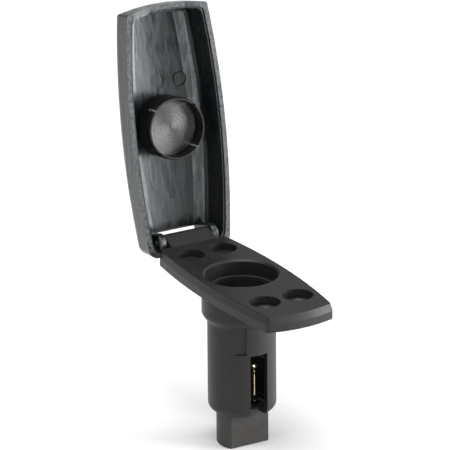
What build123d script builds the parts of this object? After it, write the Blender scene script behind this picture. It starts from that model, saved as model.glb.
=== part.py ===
import math
import os

from build123d import *

os.makedirs("parts", exist_ok=True)

# Plug-in pole base with a hinged cover, millimetres.
# Origin: bore axis at the plate's underside (deck plane). +Z up, +X towards the cover's free end,
# hinge axis along Y.

# Plate
plate_thickness = 7.0
plate_skirt = 3.5  # height of the upright lower part of the plate's edge
plate_lean = 0.8  # how far the upper part of the edge leans in
plate_back = -42.3
plate_front_corner = 48.75
plate_front = 51.5
plate_half_back = 16.1
plate_half_middle = 19.2
plate_half_front = 15.4
plate_corner_radius = 2.0
plate_top_rounding = 0.5

# Deck screws
screw_spacing_x = 63.7
screw_spacing_y = 16.0
screw_pattern_x = 2.05  # pattern centre from the bore axis
screw_hole_radius = 2.4
screw_cone_angle = 100
front_recess_radius = 6.7
front_recess_depth = 3.7
front_cone_radius = 5.2
back_recess_radius = 6.1
back_recess_depth = 3.2

# Bore, from the rim down
pole_diameter = 25.4
pole_bore_radius = pole_diameter / 2 + 0.15
bore_rim_radius = 16.5
bore_wall_radius = 15.7
bore_lead_radius = 14.2
bore_rim_depth = 0.8
seal_height = 1.5
seal_top = 0.1
seal_inner_radius = 14.4
seal_rounding = 0.4
bore_ledge = seal_top - seal_height
bore_lead_top = -5.0
bore_top = -6.5
bore_bottom = -35.0
socket_radius = 12.2
socket_shoulder = 0.65
socket_floor = -52.6

# Body under the plate
collar_radius = 17.23
collar_straight = -9.4
collar_end = -13.9
barrel_radius = 14.85
barrel_round_start = -51.6
barrel_bottom = -55.2
barrel_round_point = (13.8, -54.1)  # radius and height half-way round the foot
pad_bottom = -25.9
pocket_top = -12.6
pocket_bottom = -25.2
pocket_outline = ((10.4, -10.6), (12.8, -5.7), (collar_radius, -4.6), (collar_radius, -10.6))
window_half_width = 4.2
window_middle = 0.3  # the window sits a little to one side of the bore
window_back = 6.57  # the window reaches in to the wiring cap's flat

# Wiring cap
cap_radius = 11.26
cap_flat = 6.57
cap_bottom = -70.8
cap_top = -54.4
cap_wall = 1.9
cap_rounding = 0.8
carrier_thickness = 3.2
carrier_boss_radius = 1.9
carrier_screw_spacing = 6.4
carrier_screw_radius = 0.7
carrier_screw_head_radius = 1.25
carrier_screw_head_height = 0.9
carrier_screw_tail = 1.0  # how far the screws stand out below the carrier
carrier_screw_rounding = 0.4
carrier_screw_slot = (1.5, 0.35)
carrier_screw_slot_depth = 0.4
grommet_height = 6.0
grommet_recess = 0.6
wire_spacing = 5.0
wire_radius = 1.5

# Contacts
contact_spacing = 12.2
contact_tip = -36.6
contact_radius = 0.95
contact_head_radius = 1.45
contact_neck_radius = 0.62
contact_seat = -53.1
washer_radius = 1.7
washer_thickness = 0.5
contact_seal_radius = 1.35
contact_seal_height = 2.0
contact_seal_rounding = 0.3
terminal_top = cap_top - carrier_thickness
terminal_thickness = 0.6
terminal_eye_radius = 2.0
terminal_tongue = (2.6, 4.0)
terminal_tube_offset = 3.9  # from the contact towards the middle
terminal_tube_radius = 1.3
terminal_tube_bore = 0.9
terminal_tube_length = 4.6
nut_height = 1.6
nut_radius = 2.0
contact_tail = terminal_top - 2 * nut_height

# Hinge
hinge_x = -49.0
hinge_z = plate_thickness
knuckle_radius = 3.3
knuckle_half_width = 10.8
knuckle_ramp_angle = 27.0
knuckle_root = (-41.8, 1.2)  # where the knuckle's underside meets the plate
hinge_pin_radius = 1.25
hinge_pin_half_length = 14.8
hinge_pin_chamfer = 0.25
hinge_running_gap = 0.06
cheek_inner = 11.2
cheek_outer = 14.5
cheek_radius = 4.3
cheek_rounding = 0.9
cheek_root_overlap = 1.0
lid_open_angle = 99.8

# Cover, drawn closed
lid_far_end = 55.4
lid_far_corner = 53.2
lid_hinge_end = -54.6
lid_half_middle = 23.3
lid_half_front = 19.7
lid_half_back = 19.8
lid_corner_radius = 1.6
lid_inner_corner_radius = 3.0
lid_heel_radius = 4.5  # plan corners at the hinge end
lid_wall = 2.8
lid_rim = 3.4
lid_floor = 17.3  # inside of the roof along the middle
lid_roof = 19.3
cheek_root_height = lid_floor + 0.5  # the cheeks end inside the roof
lid_crown_radius = 130.0  # the inside of the roof is bowed across
lid_roof_start = -47.1  # the roof is open between the cheeks behind this
lid_draft = 4.5  # lean of the side walls, degrees
lid_edge_radius = 7.0  # rounding between side walls and roof
lid_inside_radius = 2.0
lid_opening_rounding = 1.4
stop_lip_bottom = 2.0  # the end wall's lip meets the plate's back edge when open
stop_lip_size = (1.8, 4.8)
stop_lip_offset = (1.1, 2.4)  # from the end of the cover and from the cheek's inner face
rim_step_depth = 0.7
rim_step_width = 0.8

# Stopper on the cover
stopper_radius = 13.92
stopper_lip_radius = 12.8
stopper_rim = lid_rim + 1.15
stopper_bead = ((0.65, 0), (0.35, 0.3), (0, 1.8), (0, 3.0), (0.25, 3.6))  # inset, height over rim
stopper_slot_width = 1.3
stopper_slot_turn = 45
stopper_floor_thickness = 2.4
stopper_floor = lid_floor - stopper_floor_thickness
disc_height = stopper_rim + 6.15
disc_thickness = 1.8
disc_radius = 12.4
disc_chamfer = 0.2
stopper_screw_radius = 1.3
stopper_screw_head_radius = 2.6
stopper_screw_head_height = 1.8
stopper_screw_rounding = 0.6
stopper_screw_slot = (3.0, 0.7)
stopper_screw_slot_depth = 0.9
stopper_pilot_depth = 1.4

# Moulding marks in the roof: a round dimple and a ring
dimple_centre = (20.0, -1.4)
ring_centre = (19.3, 9.7)
mark_radius = 3.3
ring_inner_radius = 2.7
mark_depth = 0.3

through = 1.0  # how far a cut runs past the surface it starts from

hinge_axis = Axis((hinge_x, 0, hinge_z), (0, 1, 0))
side_view = Plane.XZ  # X right, Z up, normal -Y


def plan_outline(
    plane, half_back, half_middle, half_front, back, corner, front, radius, back_radius
):
    """Plan shape of plate and cover: bowed sides, bowed front, straight back, rounded corners."""
    with BuildSketch(plane) as outline:
        with BuildLine():
            Line((back, half_back), (back, -half_back))
            ThreePointArc((back, -half_back), (0, -half_middle), (corner, -half_front))
            ThreePointArc((corner, -half_front), (front, 0), (corner, half_front))
            ThreePointArc((corner, half_front), (0, half_middle), (back, half_back))
        make_face()
        fillet(outline.vertices().group_by(Axis.X)[-1], radius)
        fillet(outline.vertices().group_by(Axis.X)[0], back_radius)
    return outline.sketch


def plate_outline(height, grow):
    return plan_outline(
        Plane.XY.offset(height),
        plate_half_back + grow,
        plate_half_middle + grow,
        plate_half_front + grow,
        plate_back - grow / 2,
        plate_front_corner + grow,
        plate_front + grow,
        plate_corner_radius,
        plate_corner_radius,
    )


def lid_outline(height, inset, corner_radius):
    return plan_outline(
        Plane.XY.offset(height),
        lid_half_back - inset,
        lid_half_middle - inset,
        lid_half_front - inset,
        lid_hinge_end + inset,
        lid_far_corner - inset,
        lid_far_end - inset,
        corner_radius,
        lid_heel_radius,
    )


def save(piece, name):
    piece.label = name
    export_step(piece, f"parts/{name}.step")


def open_lid(piece):
    """Swing a piece of the cover from closed to its open rest position."""
    return piece.rotate(hinge_axis, -lid_open_angle)


# Fixed base
with BuildPart() as base_housing:
    add(plate_outline(0, plate_lean))
    extrude(amount=plate_skirt)
    add(plate_outline(plate_skirt, plate_lean))
    add(plate_outline(plate_thickness, 0))
    loft()
    fillet(base_housing.faces().sort_by(Axis.Z)[-1].edges(), plate_top_rounding)
    # Collar, barrel and its rounded foot
    with BuildSketch(side_view):
        with BuildLine():
            Polyline(
                (0, plate_skirt),
                (collar_radius, plate_skirt),
                (collar_radius, collar_straight),
            )
            Spline(
                (collar_radius, collar_straight),
                (barrel_radius, collar_end),
                tangents=((0, -1), (-0.35, -1)),
            )
            Line((barrel_radius, collar_end), (barrel_radius, barrel_round_start))
            ThreePointArc(
                (barrel_radius, barrel_round_start),
                barrel_round_point,
                (cap_radius, barrel_bottom),
            )
            Polyline((cap_radius, barrel_bottom), (0, barrel_bottom), (0, plate_skirt))
        make_face()
    revolve(axis=Axis.Z)
    # Hinge knuckle with its ramp
    with BuildSketch(side_view):
        with Locations((hinge_x, hinge_z)):
            Circle(knuckle_radius)
        ramp_angle = math.radians(knuckle_ramp_angle)
        ramp_top = (
            hinge_x + knuckle_radius * math.sin(ramp_angle),
            hinge_z + knuckle_radius * math.cos(ramp_angle),
        )
        Polygon(
            (knuckle_root[0], plate_thickness),
            ramp_top,
            (hinge_x, hinge_z),
            (hinge_x, hinge_z - knuckle_radius),
            knuckle_root,
            align=None,
        )
    extrude(amount=knuckle_half_width, both=True)
    # Stepped bore
    with BuildSketch(side_view):
        Polygon(
            (0, plate_thickness + through),
            (bore_rim_radius, plate_thickness + through),
            (bore_rim_radius, plate_thickness),
            (bore_wall_radius, plate_thickness - bore_rim_depth),
            (bore_wall_radius, bore_ledge),
            (bore_lead_radius, bore_ledge),
            (bore_lead_radius, bore_lead_top),
            (pole_bore_radius, bore_top),
            (pole_bore_radius, bore_bottom),
            (socket_radius, bore_bottom - socket_shoulder),
            (socket_radius, socket_floor),
            (0, socket_floor),
            align=None,
        )
    revolve(axis=Axis.Z, mode=Mode.SUBTRACT)
    # Flat-sided opening for the wiring cap
    with BuildSketch(Plane.XY.offset(barrel_bottom)):
        Circle(cap_radius)
        Rectangle(2 * cap_flat, 2 * cap_radius, mode=Mode.INTERSECT)
    extrude(amount=socket_floor - barrel_bottom, mode=Mode.SUBTRACT)
    # Pocket beside the pad on the barrel's front
    with BuildSketch(Plane.XY.offset(pocket_bottom)):
        Polygon(*pocket_outline, align=None)
    extrude(amount=pocket_top - pocket_bottom, mode=Mode.SUBTRACT)
    # Window below the pad
    window_reach = collar_radius - window_back
    with BuildSketch(Plane.XY.offset(barrel_bottom - through)):
        with Locations((window_back + window_reach / 2, window_middle)):
            Rectangle(window_reach, 2 * window_half_width)
    extrude(amount=pad_bottom - barrel_bottom + through, mode=Mode.SUBTRACT)
    # Deck screw holes
    with Locations((screw_pattern_x - screw_spacing_x / 2, 0, plate_thickness)):
        with GridLocations(1, screw_spacing_y, 1, 2):
            CounterBoreHole(screw_hole_radius, back_recess_radius, back_recess_depth)
    with Locations((screw_pattern_x + screw_spacing_x / 2, 0, plate_thickness)):
        with GridLocations(1, screw_spacing_y, 1, 2):
            CounterBoreHole(screw_hole_radius, front_recess_radius, front_recess_depth)
    front_seat = plate_thickness - front_recess_depth
    with Locations((screw_pattern_x + screw_spacing_x / 2, 0, front_seat)):
        with GridLocations(1, screw_spacing_y, 1, 2):
            CounterSinkHole(
                screw_hole_radius, front_cone_radius, counter_sink_angle=screw_cone_angle
            )
    # Hinge pin hole
    with BuildSketch(side_view):
        with Locations((hinge_x, hinge_z)):
            Circle(hinge_pin_radius)
    extrude(amount=knuckle_half_width + through, both=True, mode=Mode.SUBTRACT)
save(base_housing.part, "base_housing")

with BuildPart() as bore_seal:
    with BuildSketch(Plane.XY.offset(bore_ledge)):
        Circle(bore_wall_radius)
        Circle(seal_inner_radius, mode=Mode.SUBTRACT)
    extrude(amount=seal_height)
    fillet(bore_seal.edges().group_by(Axis.Z)[-1], seal_rounding)
save(bore_seal.part, "bore_seal")

with BuildPart() as hinge_pin:
    with BuildSketch(side_view):
        with Locations((hinge_x, hinge_z)):
            Circle(hinge_pin_radius)
    extrude(amount=hinge_pin_half_length, both=True)
    chamfer(hinge_pin.edges().filter_by(GeomType.CIRCLE).group_by(Axis.Y)[0], hinge_pin_chamfer)
    chamfer(hinge_pin.edges().filter_by(GeomType.CIRCLE).group_by(Axis.Y)[-1], hinge_pin_chamfer)
save(hinge_pin.part, "hinge_pin")

# Wiring cap and contacts
with BuildPart() as wiring_cap:
    with BuildSketch(Plane.XY.offset(cap_bottom)):
        Circle(cap_radius)
        Rectangle(2 * cap_flat, 2 * cap_radius, mode=Mode.INTERSECT)
    extrude(amount=cap_top - cap_bottom)
    fillet(wiring_cap.edges().group_by(Axis.Z)[0], cap_rounding)
    # Wiring chamber
    with BuildSketch(Plane.XY.offset(cap_bottom)):
        Circle(cap_radius - cap_wall)
        Rectangle(2 * (cap_flat - cap_wall), 2 * cap_radius, mode=Mode.INTERSECT)
    extrude(amount=cap_top - cap_bottom, mode=Mode.SUBTRACT)
save(wiring_cap.part, "wiring_cap")

with BuildPart() as contact_carrier:
    with BuildSketch(Plane.XY.offset(cap_top - carrier_thickness)):
        Circle(cap_radius - cap_wall)
        Rectangle(2 * (cap_flat - cap_wall), 2 * cap_radius, mode=Mode.INTERSECT)
    extrude(amount=carrier_thickness)
    with BuildSketch(Plane.XY.offset(cap_top)):
        with GridLocations(1, contact_spacing, 1, 2):
            Circle(carrier_boss_radius)
    extrude(amount=contact_seat - cap_top)
    with Locations((0, 0, contact_seat)):
        with GridLocations(1, contact_spacing, 1, 2):
            Hole(contact_radius)
    with Locations((0, 0, cap_top)):
        with GridLocations(carrier_screw_spacing, 1, 2, 1):
            Hole(carrier_screw_radius)
save(contact_carrier.part, "contact_carrier")

with BuildPart() as carrier_screws:
    with BuildSketch(Plane.XY.offset(cap_top)):
        with GridLocations(carrier_screw_spacing, 1, 2, 1):
            Circle(carrier_screw_head_radius)
    extrude(amount=carrier_screw_head_height)
    fillet(carrier_screws.edges().group_by(Axis.Z)[-1], carrier_screw_rounding)
    with BuildSketch(Plane.XY.offset(cap_top)):
        with GridLocations(carrier_screw_spacing, 1, 2, 1):
            Circle(carrier_screw_radius)
    extrude(amount=-carrier_thickness - carrier_screw_tail)
    slot_length, slot_width = carrier_screw_slot
    with BuildSketch(Plane.XY.offset(cap_top + carrier_screw_head_height)):
        with GridLocations(carrier_screw_spacing, 1, 2, 1):
            Rectangle(slot_length, slot_width)
            Rectangle(slot_width, slot_length)
    extrude(amount=-carrier_screw_slot_depth, mode=Mode.SUBTRACT)
save(carrier_screws.part, "carrier_screws")

for side, name in ((-1, "left"), (1, "right")):
    contact_y = side * contact_spacing / 2
    contact_plane = Plane(origin=(0, contact_y, 0), x_dir=(1, 0, 0), z_dir=(0, -1, 0))
    contact_axis = Axis((0, contact_y, 0), (0, 0, 1))

    with BuildPart() as contact_pin:
        with BuildSketch(contact_plane):
            Polygon(
                (0, contact_tip),
                (contact_head_radius - 0.5, contact_tip),
                (contact_head_radius, contact_tip - 0.45),
                (contact_head_radius, contact_tip - 1.0),
                (contact_neck_radius, contact_tip - 2.6),
                (contact_neck_radius, contact_tip - 3.6),
                (contact_radius, contact_tip - 4.3),
                (contact_radius, contact_tail),
                (0, contact_tail),
                align=None,
            )
        revolve(axis=contact_axis)
    save(contact_pin.part, f"contact_pin_{name}")

    with BuildPart() as contact_washer:
        with BuildSketch(Plane.XY.offset(contact_seat)):
            with Locations((0, contact_y)):
                Circle(washer_radius)
                Circle(contact_radius, mode=Mode.SUBTRACT)
        extrude(amount=washer_thickness)
    save(contact_washer.part, f"contact_washer_{name}")

    with BuildPart() as contact_seal:
        with BuildSketch(Plane.XY.offset(contact_seat + washer_thickness)):
            with Locations((0, contact_y)):
                Circle(contact_seal_radius)
                Circle(contact_radius, mode=Mode.SUBTRACT)
        extrude(amount=contact_seal_height)
        top_rim = contact_seal.edges().group_by(Axis.Z)[-1].sort_by(SortBy.LENGTH)[-1]
        fillet(top_rim, contact_seal_rounding)
    save(contact_seal.part, f"contact_seal_{name}")

    # Flat eye under the carrier with a crimp tube turned down
    with BuildPart() as wire_terminal:
        with BuildSketch(Plane.XY.offset(terminal_top)):
            with Locations((0, contact_y)):
                Circle(terminal_eye_radius)
            with Locations((0, contact_y - side * terminal_tongue[1] / 2)):
                Rectangle(*terminal_tongue)
            with Locations((0, contact_y)):
                Circle(contact_radius, mode=Mode.SUBTRACT)
        extrude(amount=-terminal_thickness)
        with BuildSketch(Plane.XY.offset(terminal_top - terminal_thickness)):
            with Locations((0, contact_y - side * terminal_tube_offset)):
                Circle(terminal_tube_radius)
                Circle(terminal_tube_bore, mode=Mode.SUBTRACT)
        extrude(amount=-terminal_tube_length)
    save(wire_terminal.part, f"wire_terminal_{name}")

with BuildPart() as terminal_nuts:
    with BuildSketch(Plane.XY.offset(terminal_top - terminal_thickness)):
        with GridLocations(1, contact_spacing, 1, 2):
            RegularPolygon(nut_radius, 6)
            Circle(contact_radius, mode=Mode.SUBTRACT)
    extrude(amount=-nut_height)
save(terminal_nuts.part, "terminal_nuts")

with BuildPart() as wire_grommet:
    with BuildSketch(Plane.XY.offset(cap_bottom + grommet_recess)):
        Circle(cap_radius - cap_wall)
        Rectangle(2 * (cap_flat - cap_wall), 2 * cap_radius, mode=Mode.INTERSECT)
    extrude(amount=grommet_height)
    with Locations((0, 0, cap_bottom + grommet_recess + grommet_height)):
        with GridLocations(1, wire_spacing, 1, 2):
            Hole(wire_radius)
save(wire_grommet.part, "wire_grommet")

# Hinged cover, drawn closed
with BuildPart() as lid_solid:
    add(lid_outline(lid_rim, 0, lid_corner_radius))
    extrude(amount=lid_roof - lid_rim, taper=lid_draft)
    fillet(lid_solid.faces().sort_by(Axis.Z)[-1].edges(), lid_edge_radius)

with BuildPart() as lid_hollow:
    add(lid_outline(lid_rim, lid_wall, lid_inner_corner_radius))
    extrude(amount=lid_floor - lid_rim, taper=lid_draft)
    with BuildSketch(Plane.YZ.offset(lid_hinge_end)):
        with Locations((0, lid_floor - lid_crown_radius)):
            Circle(lid_crown_radius)
    extrude(amount=lid_far_end - lid_hinge_end, mode=Mode.INTERSECT)
    fillet(lid_hollow.faces().sort_by(Axis.Z)[-1].edges(), lid_inside_radius)

with BuildPart() as lid_shell:
    add(lid_solid.part)
    add(lid_hollow.part, mode=Mode.SUBTRACT)
    # Step round the inside of the rim
    add(lid_outline(lid_rim, lid_wall - rim_step_width, lid_inner_corner_radius))
    extrude(amount=rim_step_depth, mode=Mode.SUBTRACT)
    # Opening for the knuckle between the cheeks
    opening_length = lid_roof_start - lid_hinge_end + through
    with BuildSketch(Plane.XY):
        with Locations((lid_roof_start - opening_length / 2, 0)):
            Rectangle(opening_length, 2 * cheek_inner)
    extrude(amount=lid_roof + through, mode=Mode.SUBTRACT)
    roof_edges = lid_shell.edges().filter_by_position(
        Axis.X, lid_roof_start - 0.01, lid_roof_start + 0.01
    )
    long_roof_edges = roof_edges.filter_by(lambda edge: edge.length > 2 * cheek_inner - 1)
    fillet(long_roof_edges.sort_by(Axis.Z)[0], lid_opening_rounding)
    # Lip under the end wall beside each cheek
    for side in (-1, 1):
        with BuildSketch(Plane.XY.offset(stop_lip_bottom)):
            lip_x = lid_hinge_end + stop_lip_offset[0]
            lip_y = side * (cheek_inner + stop_lip_offset[1])
            with Locations((lip_x, lip_y)):
                Rectangle(*stop_lip_size)
        extrude(amount=lid_rim + 0.5 - stop_lip_bottom)
    # Hinge cheeks
    for side in (-1, 1):
        middle = side * (cheek_inner + cheek_outer) / 2
        with BuildPart(mode=Mode.PRIVATE) as cheek:
            with BuildSketch(side_view.offset(-middle)):
                with Locations((hinge_x, hinge_z)):
                    Circle(cheek_radius)
                Polygon(
                    (hinge_x + cheek_radius, hinge_z),
                    (lid_roof_start + cheek_root_overlap, cheek_root_height),
                    (hinge_x - cheek_root_overlap, cheek_root_height),
                    (hinge_x - cheek_radius, hinge_z),
                    align=None,
                )
            extrude(amount=(cheek_outer - cheek_inner) / 2, both=True)
            fillet(cheek.faces().filter_by(Axis.Y).edges(), cheek_rounding)
        add(cheek.part)
    with BuildSketch(side_view):
        with Locations((hinge_x, hinge_z)):
            Circle(hinge_pin_radius + hinge_running_gap)
    extrude(amount=cheek_outer + through / 2, both=True, mode=Mode.SUBTRACT)
    # Pilot hole for the stopper screw
    with Locations((0, 0, lid_floor)):
        with Locations(Plane.XY.rotated((180, 0, 0))):
            Hole(stopper_screw_radius, depth=stopper_pilot_depth)
    # Moulding marks beside the stopper
    with BuildSketch(Plane.XY.offset(lid_floor - through)):
        with Locations(dimple_centre, ring_centre):
            Circle(mark_radius)
        with Locations(ring_centre):
            Circle(ring_inner_radius, mode=Mode.SUBTRACT)
    extrude(amount=through + mark_depth, mode=Mode.SUBTRACT)
save(open_lid(lid_shell.part), "lid_shell")

with BuildPart() as stopper_cup:
    with BuildSketch(side_view):
        Polygon(
            (0, stopper_floor),
            (disc_radius, stopper_floor),
            (disc_radius, disc_height),
            (stopper_lip_radius, disc_height),
            (stopper_lip_radius, stopper_rim),
            *[(stopper_radius - inset, stopper_rim + height) for inset, height in stopper_bead],
            (stopper_radius - stopper_bead[-1][0], lid_floor),
            (0, lid_floor),
            align=None,
        )
    revolve(axis=Axis.Z)
    with BuildSketch(Plane.XY.offset(stopper_rim)):
        with PolarLocations(0, 2, start_angle=stopper_slot_turn, angular_range=180):
            Rectangle(2 * (stopper_radius + through), stopper_slot_width)
    extrude(amount=disc_height - stopper_rim, mode=Mode.SUBTRACT)
    add(lid_hollow.part, mode=Mode.INTERSECT)
    with BuildSketch(Plane.XY.offset(stopper_floor)):
        Circle(stopper_screw_radius)
    extrude(amount=stopper_floor_thickness, mode=Mode.SUBTRACT)
save(open_lid(stopper_cup.part), "stopper_cup")

with BuildPart() as stopper_disc:
    with BuildSketch(Plane.XY.offset(disc_height)):
        Circle(disc_radius)
    extrude(amount=disc_thickness)
    chamfer(stopper_disc.edges().group_by(Axis.Z)[0], disc_chamfer)
save(open_lid(stopper_disc.part), "stopper_disc")

with BuildPart() as stopper_screw:
    slot_length, slot_width = stopper_screw_slot
    with BuildSketch(Plane.XY.offset(stopper_floor)):
        Circle(stopper_screw_head_radius)
    extrude(amount=-stopper_screw_head_height)
    fillet(stopper_screw.edges().group_by(Axis.Z)[0], stopper_screw_rounding)
    with BuildSketch(Plane.XY.offset(stopper_floor - stopper_screw_head_height)):
        Rectangle(slot_length, slot_width)
        Rectangle(slot_width, slot_length)
    extrude(amount=stopper_screw_slot_depth, mode=Mode.SUBTRACT)
    with BuildSketch(Plane.XY.offset(stopper_floor)):
        Circle(stopper_screw_radius)
    extrude(amount=stopper_floor_thickness + stopper_pilot_depth)
save(open_lid(stopper_screw.part), "stopper_screw")
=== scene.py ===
import math

import bpy
from mathutils import Matrix, Vector


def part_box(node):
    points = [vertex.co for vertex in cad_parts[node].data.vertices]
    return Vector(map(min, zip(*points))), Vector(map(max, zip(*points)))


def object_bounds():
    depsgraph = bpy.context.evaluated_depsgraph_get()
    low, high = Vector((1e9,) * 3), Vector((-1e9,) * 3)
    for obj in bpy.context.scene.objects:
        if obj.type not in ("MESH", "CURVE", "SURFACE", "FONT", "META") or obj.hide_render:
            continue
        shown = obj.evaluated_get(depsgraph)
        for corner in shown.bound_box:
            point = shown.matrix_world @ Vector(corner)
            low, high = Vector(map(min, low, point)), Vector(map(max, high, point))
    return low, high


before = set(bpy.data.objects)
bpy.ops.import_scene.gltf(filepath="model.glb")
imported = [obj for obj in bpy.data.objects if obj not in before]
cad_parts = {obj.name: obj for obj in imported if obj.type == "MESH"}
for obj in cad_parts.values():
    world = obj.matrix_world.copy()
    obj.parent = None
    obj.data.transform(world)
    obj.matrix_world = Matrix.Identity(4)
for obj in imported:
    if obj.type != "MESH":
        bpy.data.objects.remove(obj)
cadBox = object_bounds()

print("frame loaded:", len(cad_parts), "nodes")


# a value on its way through a material: sums and products add Math nodes
class Wire:
    def __init__(self, look, socket):
        self.look = look
        self.socket = socket

    def sum(self, operation, first, second):
        return self.look.put("ShaderNodeMath", {"operation": operation}, {0: first, 1: second})

    def __add__(self, other):
        return self.sum("ADD", self, other)

    __radd__ = __add__

    def __sub__(self, other):
        return self.sum("SUBTRACT", self, other)

    def __rsub__(self, other):
        return self.sum("SUBTRACT", other, self)

    def __mul__(self, other):
        return self.sum("MULTIPLY", self, other)

    __rmul__ = __mul__


class Look:
    # one material: a Principled shader and whatever feeds it
    def __init__(self, name, **fixed):
        self.material = bpy.data.materials.new(name)
        self.material.use_nodes = True
        self.tree = self.material.node_tree
        self.tree.nodes.clear()
        self.shader = self.tree.nodes.new("ShaderNodeBsdfPrincipled")
        output = self.tree.nodes.new("ShaderNodeOutputMaterial")
        self.tree.links.new(self.shader.outputs[0], output.inputs[0])
        for socket, value in fixed.items():
            self.shader.inputs[socket.replace("_", " ")].default_value = value

    def feed(self, socket, value):
        if isinstance(value, Wire):
            self.tree.links.new(value.socket, socket)
        else:
            socket.default_value = value

    # any node: its type, its settings first, then the values or links of its sockets
    def put(self, kind, settings=None, values=None, out=0):
        node = self.tree.nodes.new(kind)
        for key, value in (settings or {}).items():
            setattr(node, key, value)
        for key, value in (values or {}).items():
            self.feed(node.inputs[key], value)
        return Wire(self, node.outputs[out])

    def spot(self, stretch=(1, 1, 1)):
        # place on the piece in metres, squeezed along an axis where a pattern runs long
        place = self.put("ShaderNodeTexCoord", out="Object")
        if stretch == (1, 1, 1):
            return place
        return self.put("ShaderNodeVectorMath", {"operation": "MULTIPLY"}, {0: place, 1: stretch})

    def noise(self, size, detail=3.0, stretch=(1, 1, 1), distortion=0.0):
        # size is the width of one patch in metres
        return self.put(
            "ShaderNodeTexNoise",
            values={
                "Vector": self.spot(stretch),
                "Scale": 1.0 / size,
                "Detail": detail,
                "Distortion": distortion,
            },
        )

    def band(self, value, low, high, start=0.0, end=1.0):
        return self.put(
            "ShaderNodeMapRange",
            {"clamp": True},
            {"Value": value, "From Min": low, "From Max": high, "To Min": start, "To Max": end},
        )

    def blendColours(self, factor, first, second):
        return self.put(
            "ShaderNodeMix",
            {"data_type": "RGBA"},
            {"Factor": factor, 6: first, 7: second},
            out=2,
        )

    def dot(self, first, second):
        return self.put(
            "ShaderNodeVectorMath",
            {"operation": "DOT_PRODUCT"},
            {0: first, 1: second},
            out="Value",
        )

    def relief(self, height, depth, strength=1.0, under=None):
        values = {"Height": height, "Distance": depth, "Strength": strength}
        if under is not None:
            values["Normal"] = under
        return self.put("ShaderNodeBump", values=values)

    def set(self, **links):
        for socket, value in links.items():
            self.feed(self.shader.inputs[socket.replace("_", " ")], value)
        return self.material


def rgba(grey, warm=0.0):
    return (grey * (1 + warm), grey, grey * (1 - warm), 1.0)


housingFinish = {
    "tone": 0.0125,
    "warmth": 0.09,
    "patchSize": 0.014,
    "patchContrast": 0.14,
    "grainSize": 0.00045,
    "grainDepth": 0.00004,
    "grainTone": 1.35,
    "fibreTone": 2.3,
    "waveSize": 0.009,
    "waveDepth": 0.00012,
    "roughness": 0.44,
    "gloss": 0.3,
}


def mouldedPlastic(name, finish):
    # glass-filled nylon: cloudy patches, fine spark texture, a few paler fibres at the surface
    look = Look(name, IOR=1.5, Specular_IOR_Level=finish["gloss"])
    tone = finish["tone"]
    warmth = finish["warmth"]
    clouds = look.band(look.noise(finish["patchSize"], 4.0, distortion=0.6), 0.35, 0.68)
    contrast = finish["patchContrast"]
    cloudy = look.blendColours(
        clouds, rgba(tone * (1 - contrast), warmth), rgba(tone * (1 + contrast), warmth)
    )
    grain = look.noise(finish["grainSize"], 2.0)
    grainMask = look.band(grain, 0.35, 0.7, 0.0, 0.5)
    grained = look.blendColours(grainMask, cloudy, rgba(tone * finish["grainTone"]))
    fibres = look.noise(finish["grainSize"] * 2.2, 1.0, stretch=(0.35, 1.0, 0.35))
    fibreMask = look.band(fibres, 0.66, 0.74, 0.0, 0.22)
    colour = look.blendColours(fibreMask, grained, rgba(tone * finish["fibreTone"]))
    rough = finish["roughness"] + look.band(clouds, 0.0, 1.0, -0.04, 0.05)
    bumps = look.relief(grain, finish["grainDepth"], 0.7)
    swell = look.noise(finish["waveSize"], 2.0)
    waves = look.relief(swell, finish["waveDepth"], 0.6, under=bumps)
    return look.set(Base_Color=colour, Roughness=rough, Normal=waves)


coverFinish = {
    "tone": 0.012,
    "warmth": -0.1,
    "roughness": 0.27,
    "gloss": 0.45,
    "glossTint": (0.92, 0.98, 1.0, 1.0),
    "patchSize": 0.018,
    "streakWidth": 0.0022,
    "streakTone": 1.9,
    "streakDepth": 0.00009,
    "scuffSize": 0.0009,
    "waveSize": 0.012,
    "waveDepth": 0.00022,
    "openAngle": 99.8,  # degrees from closed to the open position that the frame rests in
    "hinge": (-0.049, 0.0, 0.007),
    "bow": 1.27,  # the side walls bow in by this times the squared distance from the middle
    "sinkStart": 0.0125,  # from the middle line to where the floor starts to sink
    "sinkEnd": 0.0196,
    "sinkDepth": 0.0007,
    "roofInside": (0.0109, 0.0113),  # above the hinge, between the roof's two faces
    "rimHeight": -0.0036,
    "wornTone": 0.07,
    "wornPatch": 0.0014,
    "marks": ((0.0200, -0.0014, 0.9), (0.0193, 0.0097, 0.5)),  # along, across, strength of the dullness and painted shade
    "markRadius": 0.0033,
}


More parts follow.
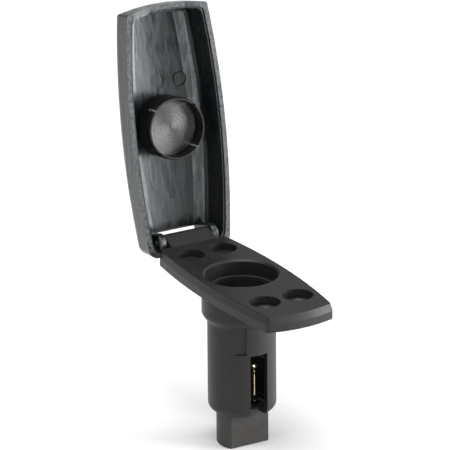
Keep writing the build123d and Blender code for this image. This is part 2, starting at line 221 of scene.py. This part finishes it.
def coverPlastic(name, finish):
    # smoother than the housing, with flow streaks along the cover and fine scuffs
    look = Look(
        name,
        IOR=1.5,
        Specular_IOR_Level=finish["gloss"],
        Specular_Tint=finish["glossTint"],
    )
    tone = finish["tone"]
    warmth = finish["warmth"]
    streaks = look.noise(finish["streakWidth"], 4.0, stretch=(1.0, 1.0, 0.1), distortion=0.4)
    streaky = look.band(streaks, 0.38, 0.66)
    clouds = look.band(look.noise(finish["patchSize"], 3.0), 0.35, 0.68)
    colour = look.blendColours(clouds, rgba(tone * 0.84, warmth), rgba(tone * 1.1, warmth))
    paleStreaks = look.band(streaks, 0.55, 0.72, 0.0, 0.35)
    colour = look.blendColours(paleStreaks, colour, rgba(tone * finish["streakTone"], warmth))
    scuffs = look.band(look.noise(finish["scuffSize"], 3.0, stretch=(1.0, 1.0, 0.25)), 0.4, 0.7)
    rough = finish["roughness"] + look.band(streaky, 0.0, 1.0, -0.07, 0.08) + 0.04 * scuffs
    # the place on the cover as if it were closed: along it, across it and up towards its roof
    turn = math.radians(finish["openAngle"])
    fromHinge = look.put(
        "ShaderNodeVectorMath", {"operation": "SUBTRACT"}, {0: look.spot(), 1: finish["hinge"]}
    )
    along = look.dot(fromHinge, (math.cos(turn), 0.0, math.sin(turn))) + finish["hinge"][0]
    height = look.dot(fromHinge, (-math.sin(turn), 0.0, math.cos(turn)))
    side = look.dot(fromHinge, (0.0, 1.0, 0.0))
    fromMiddle = look.put("ShaderNodeMath", {"operation": "ABSOLUTE"}, {0: side})
    across = fromMiddle + along * along * finish["bow"]
    inside = look.band(height, *finish["roofInside"], 1.0, 0.0)
    # the rim is worn paler and rougher
    rim = finish["rimHeight"]
    worn = look.band(height, rim + 0.0002, rim + 0.0007, 1.0, 0.0)
    worn = worn * look.band(look.noise(finish["wornPatch"], 4.0), 0.38, 0.62, 0.15, 1.0)
    colour = look.blendColours(worn, colour, rgba(finish["wornTone"], -0.05))
    rough = rough + 0.22 * worn
    # round moulding marks are rougher, and painted darker as painted shade in their dimples
    radius = finish["markRadius"]
    for markAlong, markAcross, strength in finish["marks"]:
        stepAlong = along - markAlong
        stepAcross = side - markAcross
        apart = look.put(
            "ShaderNodeMath",
            {"operation": "SQRT"},
            {0: stepAlong * stepAlong + stepAcross * stepAcross},
        )
        dullAndPaintedShade = look.band(apart, radius - 0.0003, radius, strength, 0.0) * inside
        # painted shade: the dimples are coloured near black so that they look shaded
        colour = look.blendColours(dullAndPaintedShade, colour, rgba(tone * 0.15))
        rough = rough + 0.12 * dullAndPaintedShade
    fine = look.relief(look.noise(0.0005, 2.0), 0.00002, 0.5)
    flow = look.relief(streaks, finish["streakDepth"], 0.7, under=fine)
    swell = look.noise(finish["waveSize"], 2.0, stretch=(1.0, 1.0, 0.5))
    wavy = look.relief(swell, finish["waveDepth"], 0.7, under=flow)
    # moulding shrinkage: inside, the floor sinks a little towards the side walls
    sink = look.band(across, finish["sinkStart"], finish["sinkEnd"]) * inside
    sunk = look.relief(sink, finish["sinkDepth"], 1.0, under=wavy)
    return look.set(Base_Color=colour, Roughness=rough, Normal=sunk)


rubberFinish = {
    "tone": 0.008,
    "dustTone": 0.016,
    "dustSize": 0.0012,
    "roughness": 0.62,
    "gloss": 0.4,
    "grainSize": 0.0003,
    "grainDepth": 0.00002,
}


def softRubber(name, finish):
    look = Look(name, IOR=1.5, Specular_IOR_Level=finish["gloss"])
    dust = look.band(look.noise(finish["dustSize"], 4.0), 0.4, 0.7)
    colour = look.blendColours(dust, rgba(finish["tone"]), rgba(finish["dustTone"], 0.03))
    rough = finish["roughness"] + look.band(dust, 0.0, 1.0, 0.0, 0.14)
    grain = look.relief(look.noise(finish["grainSize"], 2.0), finish["grainDepth"], 0.5)
    return look.set(Base_Color=colour, Roughness=rough, Normal=grain)


discFinish = {
    "tone": 0.06,
    "roughness": 0.26,
    "grooveWidth": 0.0003,
    "grooveDepth": 0.000009,
    "coarseEvery": 5.3,  # grooves to one coarse ring
    "smearSize": 0.004,
}


def turnedMetal(name, centre, finish):
    # lathe-turned face: fine rings about the disc's middle
    look = Look(name, Metallic=1.0)
    offset = look.put(
        "ShaderNodeVectorMath",
        {"operation": "SUBTRACT"},
        {0: look.spot(), 1: tuple(centre)},
    )
    radius = look.put("ShaderNodeVectorMath", {"operation": "LENGTH"}, {0: offset}, out="Value")
    turns = radius * (2 * math.pi / finish["grooveWidth"])
    grooves = look.put("ShaderNodeMath", {"operation": "SINE"}, {0: turns})
    coarse = look.put(
        "ShaderNodeMath",
        {"operation": "SINE"},
        {0: radius * (2 * math.pi / (finish["grooveWidth"] * finish["coarseEvery"]))},
    )
    tone = finish["tone"]
    smear = look.band(look.noise(finish["smearSize"], 3.0), 0.35, 0.7)
    colour = look.blendColours(smear, rgba(tone * 0.92), rgba(tone * 1.08))
    rough = finish["roughness"] + 0.02 * smear + look.band(coarse, -1.0, 1.0, 0.0, 0.05)
    cuts = look.relief(grooves, finish["grooveDepth"], 1.0)
    return look.set(Base_Color=colour, Roughness=rough, Normal=cuts)


metalFinish = {
    "scratchSize": 0.0004,
    "scratchDepth": 0.00001,
    "tarnishSize": 0.0016,
    "tarnish": 0.7,  # how much of the colour is left where it is tarnished
}


def plainMetal(name, colour, roughness, finish):
    # drawn or turned small metal parts: faint scratches and tarnish
    look = Look(name, Metallic=1.0)
    scratches = look.noise(finish["scratchSize"], 3.0, stretch=(1.0, 1.0, 0.2))
    tarnish = look.band(look.noise(finish["tarnishSize"], 3.0), 0.4, 0.72)
    dull = tuple(part * finish["tarnish"] for part in colour[:3]) + (1.0,)
    tint = look.blendColours(tarnish, colour, dull)
    rough = roughness + look.band(scratches, 0.3, 0.7, -0.04, 0.08)
    cuts = look.relief(scratches, finish["scratchDepth"], 0.5)
    return look.set(Base_Color=tint, Roughness=rough, Normal=cuts)


def dress(node, material):
    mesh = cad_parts[node].data
    if len(mesh.materials) == 0:
        mesh.materials.append(material)
    for place in range(len(mesh.materials)):
        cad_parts[node].material_slots[place].material = material


discLow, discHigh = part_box("stopper_disc")
discMiddle = (Vector(discLow) + Vector(discHigh)) / 2

housing = mouldedPlastic("housing nylon", housingFinish)
capFinish = dict(housingFinish, tone=0.03, patchSize=0.005, roughness=0.46)
cupFinish = dict(housingFinish, tone=0.006, warmth=-0.04, roughness=0.36)
carrierFinish = dict(housingFinish, tone=0.012, warmth=0.2)
cap = mouldedPlastic("cap nylon", capFinish)
cup = mouldedPlastic("cup nylon", cupFinish)
carrier = mouldedPlastic("carrier plastic", carrierFinish)
cover = coverPlastic("cover nylon", coverFinish)
rubber = softRubber("seal rubber", rubberFinish)
disc = turnedMetal("turned disc", discMiddle, discFinish)
brass = plainMetal("contact brass", (0.86, 0.74, 0.52, 1.0), 0.2, metalFinish)
steel = plainMetal("stainless steel", (0.62, 0.62, 0.61, 1.0), 0.3, metalFinish)
tin = plainMetal("tinned copper", (0.66, 0.65, 0.62, 1.0), 0.42, metalFinish)

finishes = {
    "base_housing": housing,
    "wiring_cap": cap,
    "contact_carrier": carrier,
    "carrier_screws": steel,
    "lid_shell": cover,
    "stopper_cup": cup,
    "stopper_disc": disc,
    "stopper_screw": steel,
    "bore_seal": rubber,
    "hinge_pin": steel,
    "terminal_nuts": brass,
    "wire_grommet": rubber,
}
for side in ("left", "right"):
    finishes["contact_pin_" + side] = brass
    finishes["contact_washer_" + side] = steel
    finishes["contact_seal_" + side] = rubber
    finishes["wire_terminal_" + side] = tin
for node, material in finishes.items():
    dress(node, material)
print("materials on", len(finishes), "nodes")


floorPlan = {"half": 3.0, "tone": 0.76, "roughness": 0.9, "speckSize": 0.4}


def layFloor():
    low = cadBox[0][2]
    half = floorPlan["half"]
    mesh = bpy.data.meshes.new("floor")
    corners = [(-half, -half, low), (half, -half, low), (half, half, low), (-half, half, low)]
    mesh.from_pydata(corners, [], [(0, 1, 2, 3)])
    floor = bpy.data.objects.new("floor", mesh)
    bpy.context.scene.collection.objects.link(floor)
    look = Look("pale floor", Roughness=floorPlan["roughness"])
    speck = look.band(look.noise(floorPlan["speckSize"], 2.0), 0.3, 0.7)
    tone = floorPlan["tone"]
    mesh.materials.append(
        look.set(Base_Color=look.blendColours(speck, rgba(tone * 0.985), rgba(tone)))
    )


layFloor()

lights = {
    "right": {"at": (0.52, 0.76, 0.19), "size": (0.62, 0.5), "power": 15.0},
    "front": {"at": (1.5, 0.1, 0.25), "size": (0.2, 0.6), "power": 3.5},
    "left": {"at": (0.35, -1.2, 0.35), "size": (0.35, 1.0), "power": 2.5},
}
sunPlan = {"strength": 2.8, "softness": 50.0, "lean": (12.0, 8.0)}
roomPlan = {
    "behind": 0.46,  # brightness of the room behind the object
    "front": 0.1,  # and on the side that the front looks at
    "frontSide": (0.87, -0.49, 0.05),
    "fade": (0.1, 0.85),  # how squarely a direction looks at the front where the fade starts, ends
}


def hangLight(name, plan):
    data = bpy.data.lights.new(name, "AREA")
    data.shape = "RECTANGLE"
    data.size, data.size_y = plan["size"]
    data.energy = plan["power"]
    lamp = bpy.data.objects.new(name, data)
    bpy.context.scene.collection.objects.link(lamp)
    lamp.location = plan["at"]
    lamp.rotation_euler = (-Vector(plan["at"])).to_track_quat("-Z", "Y").to_euler()


def hangSun(plan):
    data = bpy.data.lights.new("overhead", "SUN")
    data.energy = plan["strength"]
    data.angle = math.radians(plan["softness"])
    lamp = bpy.data.objects.new("overhead", data)
    bpy.context.scene.collection.objects.link(lamp)
    lamp.rotation_euler = [math.radians(part) for part in plan["lean"]] + [0.0]


def paintRoom(plan):
    world = bpy.data.worlds.new("studio")
    bpy.context.scene.world = world
    world.use_nodes = True
    tree = world.node_tree
    background = tree.nodes["Background"]
    place = tree.nodes.new("ShaderNodeTexCoord")
    facing = tree.nodes.new("ShaderNodeVectorMath")
    facing.operation = "DOT_PRODUCT"
    facing.inputs[1].default_value = Vector(plan["frontSide"]).normalized()
    shade = tree.nodes.new("ShaderNodeMapRange")
    shade.interpolation_type = "SMOOTHSTEP"
    shade.inputs["From Min"].default_value = plan["fade"][0]
    shade.inputs["From Max"].default_value = plan["fade"][1]
    shade.inputs["To Min"].default_value = plan["behind"]
    shade.inputs["To Max"].default_value = plan["front"]
    tree.links.new(place.outputs["Generated"], facing.inputs[0])
    tree.links.new(facing.outputs["Value"], shade.inputs["Value"])
    tree.links.new(shade.outputs[0], background.inputs["Color"])


for name, plan in lights.items():
    hangLight(name + " light", plan)
hangSun(sunPlan)
paintRoom(roomPlan)
print("floor and", len(lights), "lights set")


cameraPlan = {
    "azimuth": 60.527,
    "elevation": 20.869,
    "roll": -0.498,
    "lens": 347.5,
    "sensor": 36.0,
    "reach": 20.0,
    "distance": 1.85846,
    "across": -0.006948,
    "up": 0.020563,
    "plateTop": 0.007,
}


def placeCamera(plan):
    turn = math.radians(plan["azimuth"])
    rise = math.radians(plan["elevation"])
    roll = math.radians(plan["roll"])
    level = math.cos(rise)
    back = Vector((math.sin(turn) * level, -math.cos(turn) * level, math.sin(rise)))
    right = Vector((math.cos(turn), math.sin(turn), 0.0))
    up = back.cross(right)
    rolledRight = right * math.cos(roll) + up * math.sin(roll)
    rolledUp = up * math.cos(roll) - right * math.sin(roll)
    data = bpy.data.cameras.new("camera")
    data.sensor_width = plan["sensor"]
    data.lens = plan["lens"]
    data.clip_end = plan["reach"]
    camera = bpy.data.objects.new("camera", data)
    bpy.context.scene.collection.objects.link(camera)
    place = rolledRight * plan["across"] + rolledUp * plan["up"] + back * plan["distance"]
    place.z += plan["plateTop"]
    turned = Matrix((rolledRight, rolledUp, back)).transposed().to_4x4()
    camera.matrix_world = Matrix.Translation(place) @ turned
    bpy.context.scene.camera = camera


placeCamera(cameraPlan)
bpy.context.scene.view_settings.view_transform = "Standard"  # keeps the floor white
print("camera placed")
